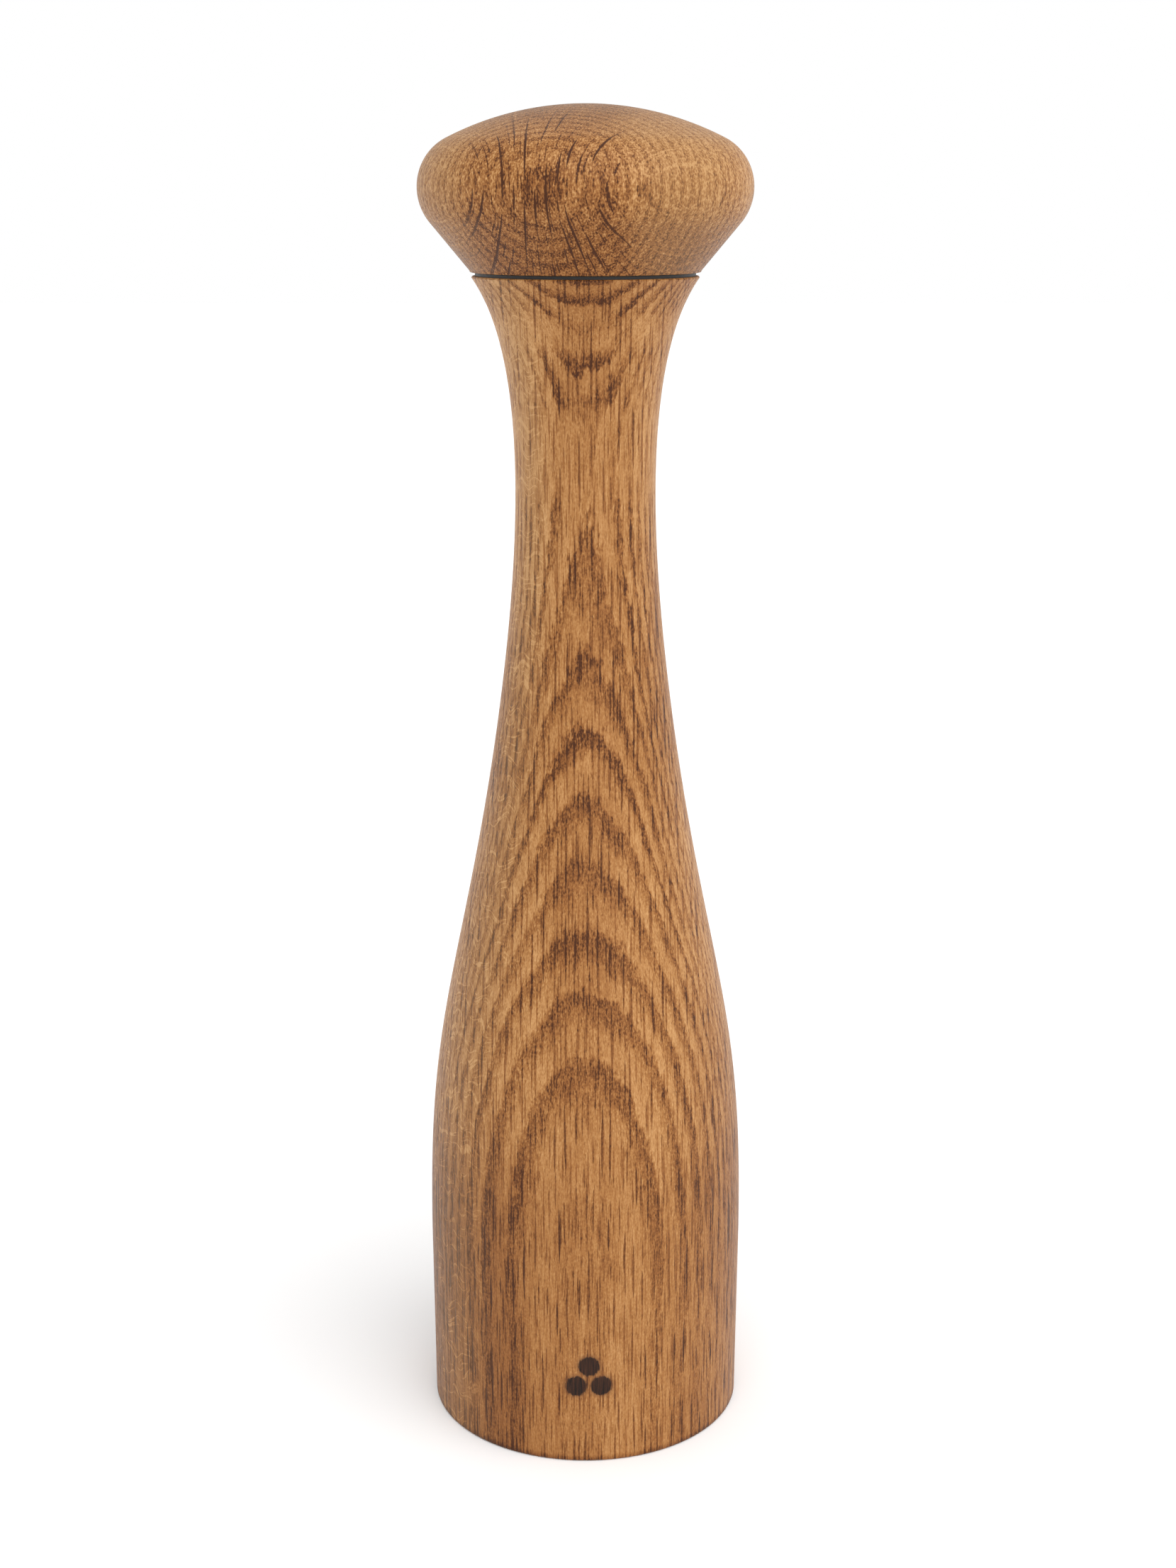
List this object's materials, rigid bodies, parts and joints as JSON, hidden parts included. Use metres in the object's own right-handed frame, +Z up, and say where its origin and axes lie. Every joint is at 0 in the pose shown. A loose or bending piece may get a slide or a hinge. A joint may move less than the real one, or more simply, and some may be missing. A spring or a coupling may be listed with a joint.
{
  "type": "pepper mill",
  "caption": "Tall turned oak pepper mill with a mushroom head that turns and lifts off, and a ceramic conical grinder set by a scalloped ring under the base.",
  "frame": {"origin": "centre of the base's resting face", "axes": "+Z up along the turning axis, -Y towards the front with the burnt mark"},
  "size_m": [0.0684, 0.0684, 0.28],
  "materials": {
    "oak_body": "oiled oak, long vertical grain",
    "oak_head": "oiled oak, a little darker than the body",
    "black_plastic": "black moulded nylon",
    "adjuster_plastic": "dark grey moulded nylon",
    "carrier_plastic": "grey glass-filled nylon",
    "bush_plastic": "natural acetal",
    "ceramic": "unglazed white technical ceramic",
    "bright_steel": "drawn stainless steel",
    "spring_steel": "spring steel",
    "zinc_steel": "bright zinc plating"
  },
  "bodies": {
    "root": {"body_shell": "oak_body", "seam_washer": "black_plastic", "mill_housing": "black_plastic", "housing_screws": "zinc_steel", "shaft_guide": "black_plastic", "guide_bush": "bush_plastic", "guide_circlip": "spring_steel"},
    "drive_train": {"drive_shaft": "bright_steel", "burr_nut": "bright_steel", "burr_washer": "bright_steel", "inner_burr": "ceramic", "feed_screw": "carrier_plastic", "spring_washer": "bright_steel", "shaft_spring": "spring_steel", "thrust_washer": "bush_plastic", "top_washer": "bright_steel", "shaft_clip": "spring_steel"},
    "head": {"head": "oak_head", "head_socket": "black_plastic", "grip_spring": "spring_steel", "socket_screws": "zinc_steel"},
    "burr_holder": {"burr_carrier": "carrier_plastic", "outer_burr": "ceramic"},
    "adjuster": {"adjuster_ring": "adjuster_plastic"}
  },
  "joints": [
    {"name": "shaft_turn", "type": "hinge", "parent": "root", "child": "drive_train", "pos_m": [0, 0, 0.0465], "axis": [0, 0, 1], "continuous": true},
    {"name": "head_lift", "type": "slide", "parent": "drive_train", "child": "head", "axis": [0, 0, 1], "range_m": [0, 0.06]},
    {"name": "adjuster_turn", "type": "hinge", "parent": "root", "child": "adjuster", "pos_m": [0, 0, 0.0165], "axis": [0, 0, 1], "range_deg": [-216, 216]},
    {"name": "burr_lift", "type": "slide", "parent": "root", "child": "burr_holder", "axis": [0, 0, 1], "range_m": [-0.0015, 0.0015]}
  ],
  "couplings": [
    {"joint": "burr_lift", "follows": "adjuster_turn", "m_per_rad": -0.0003978}
  ]
}
